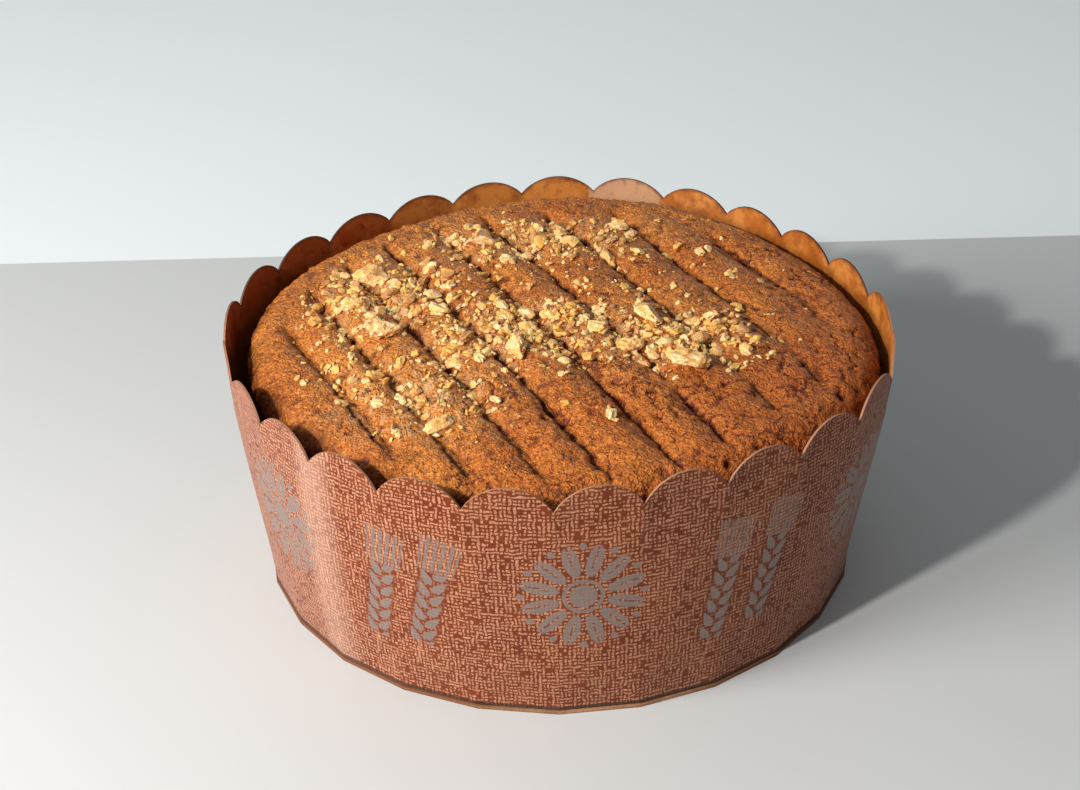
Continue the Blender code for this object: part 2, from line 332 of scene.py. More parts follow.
def wall_radius(angle, z):
    share = (z - WALL_FOOT_Z) / (DIP_Z - WALL_FOOT_Z)
    radius = WALL_FOOT_RADIUS + (WALL_RIM_RADIUS - WALL_FOOT_RADIUS) * share
    radius += lobes_at(angle, RIM_LOBES) * smooth_step(share)
    to_fold = (angle - FOLD_ANGLE + pi) % (2 * pi) - pi
    radius += FOLD_RISE * exp(-((to_fold / FOLD_WIDTH) ** 2)) * sin(pi * min(share, 1.0))
    corners = 1 - smooth_step((z - WALL_FOOT_Z) / CORNER_FADE_Z)
    return radius - WALL_FOOT_RADIUS * corner_pull(angle, SCALLOPS, FIRST_DIP) * corners


# %% [markdown]
# ## Modelling the wall
# A tube without ends gets one column for each of sixteen steps in a scallop, and its upright edges are
# subdivided into rows. Each point is then moved to the wall's own radius and height: that is the one step
# that no operator gives, because the rim is neither round nor level. A light unevenness keeps the paper
# from looking like metal. Solidify then turns the sheet into paper of half a millimetre, with other
# materials for its inside and its cut edge.

# %% Model the wall
STEPS = 16
ROWS = 26
LEAN_FROM_Z = 0.8 * DIP_Z
PAPER_WAVE = 0.16 * MM
PAPER_WAVE_LENGTH = 13 * MM
PAPER_WAVE_UPRIGHT = 0.6

deselect_all()
bpy.ops.mesh.primitive_cylinder_add(
    vertices=SCALLOPS * STEPS, radius=WALL_RIM_RADIUS, depth=DIP_Z, end_fill_type="NOTHING"
)
wall = named("printed_case_wall")
edit_mode()
pick(wall, "EDGE", lambda edge: abs(edge.verts[0].co.z - edge.verts[1].co.z) > DIP_Z / 2)
bpy.ops.mesh.subdivide(number_cuts=ROWS - 1)
object_mode()


def scallop(share):
    """Rise of the edge along one scallop, 0 in the dips and 1 at the crest: an arc between sharp dips."""
    half_width = pi * WALL_RIM_RADIUS / SCALLOPS
    arc_radius = (half_width**2 + SCALLOP_RISE**2) / (2 * SCALLOP_RISE)
    drop = arc_radius - sqrt(arc_radius**2 - ((2 * share - 1) * half_width) ** 2)
    return 1 - drop / SCALLOP_RISE


below_edge = wall.data.attributes.new("below_edge", "FLOAT", "POINT")
first = atan2(wall.data.vertices[0].co.y, wall.data.vertices[0].co.x)
for vert in wall.data.vertices:
    around = (atan2(vert.co.y, vert.co.x) - first) / (2 * pi)
    step = round(around * SCALLOPS * STEPS) % (SCALLOPS * STEPS)
    height_share = vert.co.z / DIP_Z + 0.5
    angle = FIRST_DIP + 2 * pi * step / (SCALLOPS * STEPS)
    crest = scallop(step % STEPS / STEPS)
    edge_z = DIP_Z + (SCALLOP_RISE + lobes_at(angle, TALLER_IN_FRONT)) * crest
    z = WALL_FOOT_Z + (edge_z - WALL_FOOT_Z) * height_share
    lean = SCALLOP_LEAN * crest * max(0.0, (z - LEAN_FROM_Z) / (edge_z - LEAN_FROM_Z))
    on_paper = Vector((cos(angle), sin(angle), PAPER_WAVE_UPRIGHT * z / WALL_RIM_RADIUS))
    wave = noise.noise(on_paper * (WALL_RIM_RADIUS / PAPER_WAVE_LENGTH))
    below_edge.data[vert.index].value = (edge_z - z) / MM
    radius = wall_radius(angle, z) - lean + PAPER_WAVE * wave * smooth_step(z / CORNER_FADE_Z)
    vert.co = (radius * cos(angle), radius * sin(angle), z)
report(wall)

# %% [markdown]
# ## A map for the print
# The print belongs to the flat strip of paper before it was bent round, so the pattern has to follow the
# wall. A UV map does that: across it runs once round the case from the glued seam at the back, and up it
# runs from the base to 70 mm. A face at the seam takes its last column as 1 and not as 0.

# %% Lay the map and give the paper its thickness
SEAM_ANGLE = radians(82)
MAP_HEIGHT = 70 * MM

strip = wall.data.uv_layers.new(name="strip")
for face in wall.data.polygons:
    middle = ((atan2(face.center.y, face.center.x) - SEAM_ANGLE) / (2 * pi)) % 1.0
    for corner in face.loop_indices:
        x, y, z = wall.data.vertices[wall.data.loops[corner].vertex_index].co
        share = (atan2(y, x) - SEAM_ANGLE) / (2 * pi)
        share += round(middle - share)
        strip.data[corner].uv = (share, z / MAP_HEIGHT)
for name in ("printed paper", "kraft inside", "cut edge"):
    wall.data.materials.append(bpy.data.materials.new(name))
inside_and_edge = {"material_offset": 1, "material_offset_rim": 2}
apply_modifier(
    wall, "SOLIDIFY", thickness=WALL_THICKNESS, offset=-1.0, use_even_offset=True, **inside_and_edge
)
shade(wall, 50)
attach(wall, "root")
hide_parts("case_wall")
report(wall)

# %% [markdown]
# ## The printed paper
# The outside is printed to look like coarse cloth: short cream dashes, level or upright, on brown. The
# strip is divided into square cells, and a random number for each cell says whether its thread runs level,
# upright or is only a dot. Where two neighbours agree their dashes join, which gives the uneven lengths of
# a real weave. A soft warp takes away the ruler-straight look. A painted highlight runs down the fold at
# the left front, with a fainter painted sheen beside it, a dark line marks the end of the glued strip, and
# a painted shadow darkens the foot of the wall.

# %% Woven print
STRIP_LENGTH = 2 * pi * 77
CELL = 1.0
WARP = 1.5
WARP_SIZE = 2.0
WARP_SHIFT = (31.0, 57.0, 0.0)
THREAD_EDGES = (0.32, 0.18)
BROWN = (0.142, 0.022, 0.003)
BROWN_WORN = (0.185, 0.035, 0.005)
CREAM = (0.54, 0.255, 0.14)

tree, shader = opened(wall.data.materials[0], Specular_IOR_Level=0.08, Sheen_Weight=0.14)
flat = node(tree, "ShaderNodeUVMap", {"uv_map": "strip"})
true_size = (STRIP_LENGTH, MAP_HEIGHT / MM, 1.0)
flat = node(tree, "ShaderNodeMapping", None, {"Vector": flat, "Scale": true_size})
along, high, _ = axes(flat)
warp_u = (grain(flat, WARP_SIZE, 3.0) - 0.5) * WARP
shifted = node(tree, "ShaderNodeMapping", None, {"Vector": flat, "Location": WARP_SHIFT})
warp_v = (grain(shifted, WARP_SIZE, 3.0) - 0.5) * WARP
column = (along + warp_u) / CELL
row = (high + warp_v) / CELL
cell = node(tree, "ShaderNodeCombineXYZ", None, {0: column.floor(), 1: row.floor()})
chance = node(tree, "ShaderNodeTexWhiteNoise", {"noise_dimensions": "2D"}, {"Vector": cell})
other = node(tree, "ShaderNodeTexWhiteNoise", {"noise_dimensions": "3D"}, {"Vector": cell})
from_column = abs(column % 1.0 - 0.5)
from_row = abs(row % 1.0 - 0.5)
reach = 0.26 + other * 0.32
level_dash = from_row.ramp(*THREAD_EDGES) * (reach - from_column).ramp(-0.06, 0.06)
upright_dash = from_column.ramp(*THREAD_EDGES) * (reach - from_row).ramp(-0.06, 0.06)
dot = (from_column * from_column + from_row * from_row).ramp(0.09, 0.03)
is_level = chance.ramp(0.44, 0.43)
is_dot = chance.ramp(0.82, 0.83)
is_blank = chance.ramp(0.93, 0.94)
dashes = is_level * level_dash + (1 - is_level) * (1 - is_dot) * upright_dash
threads = dashes + is_dot * (1 - is_blank) * dot
weave = threads * (0.18 + grain(flat, 1.4, 2.0) * 1.1)
print("weave cells round the case:", round(STRIP_LENGTH / CELL))

# %% [markdown]
# ## Wheat ears and rosettes
# Six pairs of wheat ears and six rosettes are stamped over the weave in a dull silver ink, which stays
# bright where the wall turns into the shade. Each is drawn with plain sums on the flat map. An ear is one
# grain repeated up its stalk, mirrored left and right, under a brush of parallel beard lines. A rosette is
# one petal repeated round a centre. The modulo does the repeating, so each shape is written once.

# %% Stamped ornaments
PERIOD = STRIP_LENGTH / 6
ROSETTE_AT = STRIP_LENGTH * (degrees(-SEAM_ANGLE) - 87) / 360
ROSETTE_HIGH = 35.0
GRAIN_STEP = 3.8
GRAIN_OUT = 1.85
GRAIN_TILT = radians(33)
EAR_TOP = 23.2
BEARD_TOP = 33.2
BEARD_STEP = 1.7
PETALS = 12
INK = (0.25, 0.205, 0.185)


def from_middle(shift):
    """Distance along the strip to the nearest of six evenly spaced places."""
    return (along - (ROSETTE_AT + shift) + PERIOD / 2) % PERIOD - PERIOD / 2


def ellipse(x, y, half_length, half_width, soft=0.18):
    away = x * x / (half_length * half_length) + y * y / (half_width * half_width)
    return away.ramp(1 + soft, 1 - soft)


def wheat_ear(foot, foot_high, lean):
    """Grey ink, pale lines and dark gaps of one ear that stands at foot and leans to the right."""
    x, y = from_middle(PERIOD / 2) - foot, high - foot_high
    up_it = x * sin(lean) + y * cos(lean)
    beside = x * cos(lean) - y * sin(lean)
    side = beside.ramp(-0.01, 0.01)
    place = (up_it + side * (GRAIN_STEP / 2)) % GRAIN_STEP - GRAIN_STEP / 2
    out = abs(beside) - GRAIN_OUT
    grain_long = place * cos(GRAIN_TILT) + out * sin(GRAIN_TILT)
    grain_wide = out * cos(GRAIN_TILT) - place * sin(GRAIN_TILT)
    grains = ellipse(grain_long, grain_wide, 2.45, 1.0 - grain_long * 0.24)
    grains = grains * up_it.ramp(0.2, 0.6) * up_it.ramp(EAR_TOP, EAR_TOP - 0.6)
    fan = beside / (1 + (up_it - 22) * 0.012)
    bars = abs(fan % BEARD_STEP - BEARD_STEP / 2)
    beard = abs(fan).ramp(4.4, 4.1) * up_it.ramp(22.4, 23.0) * up_it.ramp(BEARD_TOP, BEARD_TOP - 0.8)
    stalk = abs(beside).ramp(0.42, 0.2) * up_it.ramp(-7.5, -7.0) * up_it.ramp(0.6, 0.2)
    gaps = abs(beside).ramp(4.2, 3.6) * up_it.ramp(0.0, 0.8) * up_it.ramp(EAR_TOP, EAR_TOP - 0.8)
    ink = grains.at_least(beard * bars.ramp(0.55, 0.4) * 0.75)
    lines = (beard * bars.ramp(0.6, 0.75)).at_least(stalk)
    return ink, lines, gaps * (1 - grains)


def rosette():
    """Petals with a vein each, a bead between every two, and a disc with a ring in it."""
    x, y = from_middle(0), high - ROSETTE_HIGH
    far = (x * x + y * y) ** 0.5
    turn = y.bearing(x) + pi
    slice_angle = 2 * pi / PETALS

    def folded(shift):
        """Distances out and aside from the middle line of the nearest slice."""
        off = (turn + shift) % slice_angle - slice_angle / 2
        return far * off.cosine(), far * off.sine()

    out, aside = folded(0.0)
    petal = ellipse(out - 10.0, aside, 4.4, 1.75)
    vein = abs(aside).ramp(0.34, 0.16) * far.ramp(7.6, 8.2)
    out, aside = folded(slice_angle / 2)
    bead = ellipse(out - 13.9, aside, 1.0, 0.8)
    ring = far.ramp(4.9, 4.6) * (1 - far.ramp(3.0, 3.3) * far.ramp(4.0, 3.7))
    return (petal * (1 - vein * 0.8)).at_least(bead).at_least(ring)


ear_one, lines_one, gaps_one = wheat_ear(-10.0, 15.5, radians(11))
ear_two, lines_two, gaps_two = wheat_ear(2.0, 17.0, radians(14))
stamped = ear_one.at_least(ear_two).at_least(rosette())
pale_lines = lines_one.at_least(lines_two)
dark_gaps = gaps_one.at_least(gaps_two)
print("ornaments repeat every", round(PERIOD, 1), "mm of the strip")

# %% Colour and surface of the printed paper
worn = grain(flat, 9.0, 3.0).ramp(0.35, 0.75)
ground = mixed(worn, BROWN, BROWN_WORN)
woven = mixed(weave.at_most(1.0), ground, CREAM)
shaded = mixed(dark_gaps * 0.55, woven, BROWN)
lined = mixed(pale_lines * 0.4, shaded, CREAM)
fade = 0.6 + grain(flat, 0.7, 3.0, 0.65) * 0.5
inked = mixed((stamped * fade * (1 - weave * 0.3)).at_most(1.0), lined, INK)
fold_along = ((FOLD_ANGLE - SEAM_ANGLE) / (2 * pi) % 1.0) * STRIP_LENGTH
# Painted highlight along the fold at the left front, and a fainter painted sheen beside it on the left
painted_fold_highlight = abs(along - fold_along).ramp(9.0, 1.0) * 0.30
painted_sheen_beside_fold = along.ramp(110.0, 165.0) * along.ramp(196.0, 190.0) * 0.05
with_painted_fold_highlight = mixed(painted_fold_highlight.at_least(painted_sheen_beside_fold), inked, (0.66, 0.42, 0.31))
lap_edge = along.at_most(STRIP_LENGTH - along).ramp(0.3, 0.1)
lapped = mixed(lap_edge * 0.8, with_painted_fold_highlight, (0.05, 0.018, 0.008))
# Painted shadow along the foot of the wall, where it stands over the board
with_painted_foot_shadow = mixed(high.ramp(2.3, 1.7) * 0.85, lapped, (0.03, 0.012, 0.007))
fibres = grain(flat, 0.35, 3.0, 0.7)
feed(
    shader,
    Base_Color=with_painted_foot_shadow,
    Roughness=0.44 + fibres * 0.14 - weave * 0.03,
    Metallic=stamped * fade * 0.6,
    Normal=bump(fibres, 0.05),
)

# %% [markdown]
# ## Inside and edge of the paper
# The inside is bare kraft paper, orange-brown, with darker spots where butter soaked in, and it turns
# darker and redder towards the left. One scallop beside the seam is the paler end of the strip, lapped over
# its start. The print doesn't reach the cut edge, so the thickness of the paper shows as a pale line in
# front. At the back the edge has browned in the oven.

# %% Kraft inside
LAP_START = [radians(turn) for turn in (67.5, 67.9)]
LAP_END = [radians(turn) for turn in (82.4, 82.0)]
tree, shader = opened(wall.data.materials[1])
point = in_millimetres(tree)
x, y, z = axes(point)
soaked = grain(point, 11.0, 4.0, 0.6).ramp(0.42, 0.68)
spots = grain(point, 2.4, 3.0, 0.65).ramp(0.5, 0.72)
plain = mixed(grain(point, 26.0, 2.0), (0.58, 0.20, 0.026), (0.50, 0.18, 0.038))
greasy = mixed(soaked * 0.8, plain, (0.31, 0.075, 0.008))
blotched = mixed(grain(point, 5.0, 4.0, 0.65).ramp(0.48, 0.64) * 0.55, greasy, (0.24, 0.055, 0.008))
# Darker and redder towards the left
redder_to_left = mixed((x + y * 0.3).ramp(4.0, -44.0) * (0.66 + spots * 0.34), blotched, (0.29, 0.022, 0.002))
around = y.bearing(x)
lap = around.ramp(*LAP_START) * around.ramp(*LAP_END)
lapped = mixed(lap * 0.75, redder_to_left, (0.50, 0.29, 0.17))
from_edge = attribute(tree, "below_edge") + grain(point, 3.0, 3.0) * 2.2
scorched = mixed(from_edge.ramp(2.4, 0.9) * 0.8, lapped, (0.13, 0.03, 0.006))
stained = mixed(spots * 0.35 * z.ramp(50.0, 61.0), scorched, (0.10, 0.016, 0.004))
fibres = grain(point, 0.5, 3.0, 0.7)
feed(shader, Base_Color=stained, Roughness=0.55 - soaked * 0.17, Normal=bump(fibres, 0.06))

# %% Cut edge
tree, shader = opened(wall.data.materials[2])
point = in_millimetres(tree)
browned = axes(point)[1].ramp(-5.0, 25.0)
pale = mixed(grain(point, 1.5), (0.40, 0.19, 0.10), (0.28, 0.115, 0.055))
feed(shader, Base_Color=mixed(browned, pale, (0.07, 0.025, 0.01)), Roughness=0.6 + grain(point, 0.6) * 0.3)

# %% [markdown]
# ## The board
# A disc of grey-brown board closes the case below. It has one straight side for each flat of the wall, and
# its edge shows as a thin line under the print. It is modelled as a low prism whose rims are bevelled, with
# a shallow pressed ring where the wall is glued to it.

# %% Model the board
BOARD_THICKNESS = 0.8 * MM
BOARD_RADIUS = 74.9 * MM

deselect_all()
bpy.ops.mesh.primitive_cylinder_add(
    vertices=SCALLOPS,
    radius=BOARD_RADIUS,
    depth=BOARD_THICKNESS,
    location=(0, 0, BOARD_THICKNESS / 2),
    rotation=(0, 0, FIRST_DIP - pi / 2),
)
board = named("base_board")
settle(board)
edit_mode()
pick(board, "EDGE", lambda edge: abs(edge.verts[0].co.z - edge.verts[1].co.z) < BOARD_THICKNESS / 2)
bpy.ops.mesh.bevel(offset=0.18 * MM, segments=3)
pick(board, "FACE", lambda face: face.normal.z > 0.9 and face.calc_area() > 0.01)
bpy.ops.mesh.inset(thickness=3.5 * MM)
bpy.ops.mesh.inset(thickness=0.4 * MM, depth=-0.15 * MM)
object_mode()
shade(board, 35)
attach(board, "root")
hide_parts("case_board")
report(board)

# %% Board material
kraft_board, tree, shader = material("kraft board", Roughness=0.8)
point = in_millimetres(tree)
flecks = grain(point, 0.9, 4.0, 0.7)
tint = mixed(flecks.ramp(0.35, 0.7), (0.36, 0.18, 0.085), (0.24, 0.11, 0.05))
stained = mixed(grain(point, 14.0, 2.0).ramp(0.5, 0.75), tint, (0.15, 0.06, 0.025))
aside = axes(point)[0]
# Darker towards the left, and painted shade towards the right, where the board's edge lies in shade
darker_left_painted_shade_right = (aside.ramp(-2.0, -30.0) * 0.85).at_least(aside.ramp(20.0, 42.0) * 0.9)
feed(shader, Base_Color=mixed(darker_left_painted_shade_right, stained, (0.15, 0.045, 0.012)), Normal=bump(flecks, 0.08))
board.data.materials.append(kraft_board)

# %% [markdown]
# ## The cake's body
# The cake rose against the wall and shrank away from it as it cooled. Its top is a low crown under nine
# scored lines. The ridges have to lie where the solid model has them, so its own formulas move the points
# of a fine, even mesh. That mesh comes from a plain drum with a rounded upper rim, which the Remesh
# modifier turns into even squares of about 0.6 mm, small enough for crumbs.

# %% Values of the cake
CAKE_FOOT_Z = 1.1 * MM
CAKE_RADIUS = 77 * MM
CAKE_TOP_Z = 61 * MM
SIDE_GAP = 0.6 * MM
SHRINK = 2.6 * MM
SHRINK_LOBES = ((1, 1.5 * MM, radians(-137)),)
SHRINK_FULL_Z = 45 * MM
SHOULDER = 9.5 * MM
CROWN = 3.2 * MM
LUMP_HEIGHT = 0.5 * MM
LUMP_LENGTH = 13 * MM
GROOVES = tuple(across * MM for across in (-59, -47, -33, -20, -4.5, 9.5, 26, 42, 58.5))
GROOVE_TURN = radians(26)
RIDGE_WIDTH = 14.7 * MM
VALLEY_DEPTH = 2.8 * MM  # a slit goes on below it
RIDGE_ROUNDNESS = 2.3
GROOVE_WANDER = 0.7 * MM
WANDER_LENGTHS = (65 * MM, 11 * MM)
SCORED_CENTRE = (0.0, -4 * MM)
SCORED_RADIUS = 69 * MM
SCORED_FADE = 7 * MM
WANDER_FADE = 5 * MM
RISEN_FROM_X = 8 * MM
RISEN_FADE_X = 34 * MM
RISEN_UP_TO_Y = 36 * MM
RISEN_FADE_Y = 30 * MM
RISEN_LENGTH = 13 * MM
FLAT_RADIUS = CAKE_RADIUS - SHOULDER


def cake_radius(angle, z):
    shrink = SHRINK + lobes_at(angle, SHRINK_LOBES)
    gap = SIDE_GAP + shrink * smooth_step((z - CAKE_FOOT_Z) / SHRINK_FULL_Z)
    return wall_radius(angle, min(z, DIP_Z)) - WALL_THICKNESS - gap


def groove_frame(x, y):
    """Distances across and along the scored lines."""
    across = x * cos(GROOVE_TURN) + y * sin(GROOVE_TURN)
    return across, y * cos(GROOVE_TURN) - x * sin(GROOVE_TURN)


def scored(x, y):
    """1 where the top is scored. It fades at the rim and in patches at the right front, which rose most."""
    from_centre = hypot(x - SCORED_CENTRE[0], y - SCORED_CENTRE[1])
    risen = smooth_step((x - RISEN_FROM_X) / RISEN_FADE_X) * smooth_step((RISEN_UP_TO_Y - y) / RISEN_FADE_Y)
    risen *= 0.42 + 0.9 * noise.noise(Vector((x, y, 0.05)) / RISEN_LENGTH)
    return smooth_step((SCORED_RADIUS - from_centre) / SCORED_FADE) * (1 - min(max(risen, 0.0), 0.8))


# %% [markdown]
# ## Crumb, slits and pits
# Up close the crust isn't smooth. A scored line is a rounded valley with a ragged slit along its bottom,
# the crumb stands in grains, and here and there a bubble has broken and left a dark hole or a short tear.
# All of them are worked out for each point and cut into the mesh. How hollow each point is stays on the
# mesh as an attribute, which the material turns into painted shade.

# %% Height and hollows of the top
SLIT_DEPTH = 1.5 * MM
SLIT_WIDTH = 0.55 * MM
PIT_SPACING = 6.5 * MM
PIT_DEPTH = 1.2 * MM
TEAR_DEPTH = 0.7 * MM
TEAR_LENGTH = 9 * MM
RAGGED = ((0.9 * MM, 3.2 * MM, 5.0), (0.35 * MM, 1.3 * MM, 9.0))
CRUMB = ((0.42 * MM, 5.5 * MM, 21.0), (0.42 * MM, 2.6 * MM, 24.0), (0.27 * MM, 1.35 * MM, 27.0))
CLOD_HEIGHT = 0.45 * MM
CLOD_SPACING = 2.1 * MM


def noise_at(x, y, z, length, shift=0.0):
    return noise.noise(Vector((x / length, y / length, z / length + shift)))


def hollows(x, y, z):
    """How far the surface is sunk at a point, in metres, and how much painted shade it gets there, from 0 to
    1.
    """
    across, _ = groove_frame(x, y)
    ragged = sum(height * noise_at(x, y, 0, length, shift) for height, length, shift in RAGGED)
    away = min(abs(across - groove + ragged) for groove in GROOVES)
    broken = 0.35 + 0.65 * smooth_step(0.7 + 1.6 * noise_at(x, y, 0, 9 * MM, 3.0))
    slit = exp(-((away / SLIT_WIDTH) ** 2)) * scored(x, y) * broken
    near = noise.voronoi(Vector((x, y, z)) / PIT_SPACING)[0][0] * PIT_SPACING
    size = (1.2 + 1.5 * noise_at(x, y, z, 9 * MM, 2.0)) * MM
    often = 0.55 + 2 * noise_at(x, y, z, 21 * MM, 7.0) + 0.35 * (x - y) / CAKE_RADIUS
    pit = smooth_step(1.4 * (1 - near / max(size, 0.5 * MM))) * smooth_step(often)
    line = abs(noise_at(x, y, z, TEAR_LENGTH, 11.0) + 0.35 * noise_at(x, y, z, 2.6 * MM, 4.0))
    ripped = 2.2 * noise_at(x, y, z, 14 * MM, 15.0) + 0.85 * (x - 0.7 * y) / CAKE_RADIUS
    torn = smooth_step(1 - line / 0.075) * smooth_step(ripped)
    sunk = SLIT_DEPTH * slit + PIT_DEPTH * pit + TEAR_DEPTH * torn
    return sunk, min(1.0, slit + 0.9 * pit + 0.8 * torn)


def crumb(x, y, z):
    """Height of the crumb, and of its grains alone. The right side baked smoother."""
    calm = 1 - 0.4 * smooth_step((x - 20 * MM) / (35 * MM))
    coarse, middle, fine = (height * noise_at(x, y, z, length, shift) for height, length, shift in CRUMB)
    clod = noise.voronoi(Vector((x, y, z)) / CLOD_SPACING)[0][0]
    grains = middle + fine + CLOD_HEIGHT * (0.45 - clod)
    return (coarse + grains) * calm, grains


# %% [markdown]
# ## Modelling the body
# Only the upper part of the drum is remeshed, since the paper hides the rest. The open lower edge of that
# part is then extruded down to the foot and closed, so the body is one solid.

# %% Model the drum
CUT_Z = 36 * MM
SQUARE = 0.59 * MM

deselect_all()
bpy.ops.mesh.primitive_cylinder_add(
    vertices=180, radius=CAKE_RADIUS, depth=CAKE_TOP_Z - CUT_Z, location=(0, 0, (CAKE_TOP_Z + CUT_Z) / 2)
)
cake = named("cake_crust")
settle(cake)
edit_mode()
pick(cake, "EDGE", lambda edge: min(vert.co.z for vert in edge.verts) > CAKE_TOP_Z - 1e-5)
bpy.ops.mesh.bevel(offset=SHOULDER, segments=14, profile=0.5)
object_mode()
apply_modifier(cake, "REMESH", mode="VOXEL", voxel_size=SQUARE)
edit_mode()
pick(cake, "FACE", lambda face: face.calc_center_median().z < CUT_Z + 2 * SQUARE)
bpy.ops.mesh.delete(type="FACE")
object_mode()
report(cake)

# %% Fit the drum to its case and raise the ridges
ACROSS = Vector((cos(GROOVE_TURN), sin(GROOVE_TURN), 0.0))

for vert in cake.data.vertices:
    x, y, z = vert.co
    radius = hypot(x, y)
    angle = atan2(y, x)
    fitted = cake_radius(angle, z) / CAKE_RADIUS
    on_top = radius < FLAT_RADIUS
    stretch = 1 + (fitted - 1) * smooth_step(radius / FLAT_RADIUS) if on_top else fitted
    place = Vector((x * stretch, y * stretch, z))
    across, along_it = groove_frame(x, y)
    away = min(abs(across - groove) for groove in GROOVES) / (RIDGE_WIDTH / 2)
    near = max(0.0, 1 - away)
    valley = (0.6 * near**RIDGE_ROUNDNESS + 0.4 * (1 - sqrt(1 - near**2))) * scored(x, y)
    if not on_top:
        over_edge = smooth_step(1 - (radius - FLAT_RADIUS) / (0.6 * SHOULDER))
        place.z -= VALLEY_DEPTH * valley * over_edge
    else:
        lump = LUMP_HEIGHT * noise.noise(Vector((x, y, 0.0)) / LUMP_LENGTH)
        place.z = CAKE_TOP_Z + CROWN * (1 - (radius / FLAT_RADIUS) ** 2) + lump - VALLEY_DEPTH * valley
        way = Vector((x / WANDER_LENGTHS[0], along_it / WANDER_LENGTHS[1], 3.0))
        inner = smooth_step((FLAT_RADIUS - radius) / WANDER_FADE)
        place += ACROSS * (GROOVE_WANDER * noise.noise(way) * inner)
    vert.co = place

# %% Cut in the slits and raise the crumb
GRAINS_AT_FULL = 1.2 * MM

cake.data.update()
normals = [vert.normal.copy() for vert in cake.data.vertices]
hollow = cake.data.attributes.new("hollow", "FLOAT", "POINT")
raised = cake.data.attributes.new("raised", "FLOAT", "POINT")
for vert, normal in zip(cake.data.vertices, normals):
    x, y, z = vert.co
    sunk, painted_hollow_shade = hollows(x, y, z)
    stands, grains = crumb(x, y, z)
    vert.co += normal * (stands - sunk)
    hollow.data[vert.index].value = painted_hollow_shade
    raised.data[vert.index].value = 0.5 + grains / GRAINS_AT_FULL
print("deepest hollow darkness", round(max(value.value for value in hollow.data), 2))

# %% Close the body below
edit_mode()
pick(cake, "EDGE", lambda edge: edge.is_boundary)
for level in (CORNER_FADE_Z, CAKE_FOOT_Z):
    bpy.ops.mesh.extrude_edges_indiv()
    bm = bmesh.from_edit_mesh(cake.data)
    for vert in bm.verts:
        if vert.select:
            angle = atan2(vert.co.y, vert.co.x)
            radius = cake_radius(angle, level)
            vert.co = (radius * cos(angle), radius * sin(angle), level)
    bmesh.update_edit_mesh(cake.data)
bpy.ops.mesh.edge_face_add()
bpy.ops.mesh.select_all(action="SELECT")
bpy.ops.mesh.normals_make_consistent(inside=False)
object_mode()
only(cake)
bpy.ops.object.shade_smooth()
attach(cake, "root")
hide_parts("cake")
report(cake)

# %% [markdown]
# ## The crust
# Baked crust is never one brown. Slow changes of tone run over the whole top, and the crumb is speckled
# with lighter and darker grains. Painted dark red shade lies in the hollows, in the cracks, between the
# grains and on the sides below the shoulder. Slopes that look up and to the back get a paler painted sheen,
# and the right front is oilier and more cracked. Between the nuts lies a thin dust of them.
# The finest grain is too small for the mesh, so it is a bump: rounded crumbs of two sizes from Voronoi
# textures, broken up by noise.

# %% Crust material
PAINTED_SHEEN_FACING = (0.36, 0.40, 0.84)


def cells(point, size):
    """Distance to the nearest of many scattered points: low inside a crumb, high between crumbs."""
    return node(point.tree, "ShaderNodeTexVoronoi", None, {"Vector": point, "Scale": 1.0 / size})


def vectors(operation, first, second, output=0):
    return node(first.tree, "ShaderNodeVectorMath", {"operation": operation}, {0: first, 1: second}, output)


crust, tree, shader = material("browned crust", Specular_IOR_Level=0.4)
point = in_millimetres(tree)
x, y, z = axes(point)
painted_hollow_shade = attribute(tree, "hollow")
stands = attribute(tree, "raised")
dust = attribute(tree, "dusty")
wobble = node(tree, "ShaderNodeTexNoise", None, {"Vector": point, "Scale": 0.4, "Detail": 1.0}, output=1)
uneven = vectors("ADD", point, wobble)
crumbs_small = cells(uneven, 0.9)
crumbs_tiny = cells(uneven, 0.5)
slow = grain(point, 24.0, 2.0).ramp(0.35, 0.68)
base = mixed(slow, (0.53, 0.138, 0.012), (0.63, 0.205, 0.025))
speckle = grain(point, 0.8, 3.0, 0.65)
lighter = mixed(speckle.ramp(0.52, 0.66) * 0.85, base, (0.86, 0.35, 0.055))
mottled = mixed(grain(point, 3.2, 3.0, 0.6).ramp(0.5, 0.72) * 0.22, lighter, (0.36, 0.075, 0.007))
# Painted shade in the low places between grains and between the rounded crumbs
painted_shade_between_grains = (stands.ramp(0.44, 0.15) * 0.8).at_least(crumbs_small.ramp(0.5, 0.9) * 0.55)
darker = mixed(painted_shade_between_grains.at_least(speckle.ramp(0.44, 0.30) * 0.85), mottled, (0.14, 0.016, 0.002))
# Painted sheen: slopes that face up and to the back are paler
upward = vectors("DOT_PRODUCT", node(tree, "ShaderNodeNewGeometry", output=1), PAINTED_SHEEN_FACING, output=1)
with_painted_sheen = mixed(upward.ramp(0.86, 0.99) * (grain(point, 7.0) * 0.75), darker, (0.58, 0.28, 0.135))
powder = (dust * grain(point, 2.2, 3.0, 0.6).ramp(0.40, 0.66) * 0.85).at_most(1.0)
dusted = mixed(powder, with_painted_sheen, (0.78, 0.47, 0.21))
oiled = mixed((x - y * 0.6).ramp(12.0, 75.0) * 0.5, dusted, (0.40, 0.075, 0.003))
crease = abs(grain(uneven, 9.0, 1.0) - 0.5) + (grain(point, 1.2, 3.0, 0.7) - 0.42).at_least(0.0) * 0.32
where = (grain(point, 10.0, 1.0) * 2.0 - 1.0 + (x - y) * 0.006).ramp(0.02, 0.35)
cracked = crease.ramp(0.036, 0.012) * where
# Painted shade in the cracks
with_painted_crack_shade = mixed(cracked * 0.85, oiled, (0.14, 0.014, 0.002))
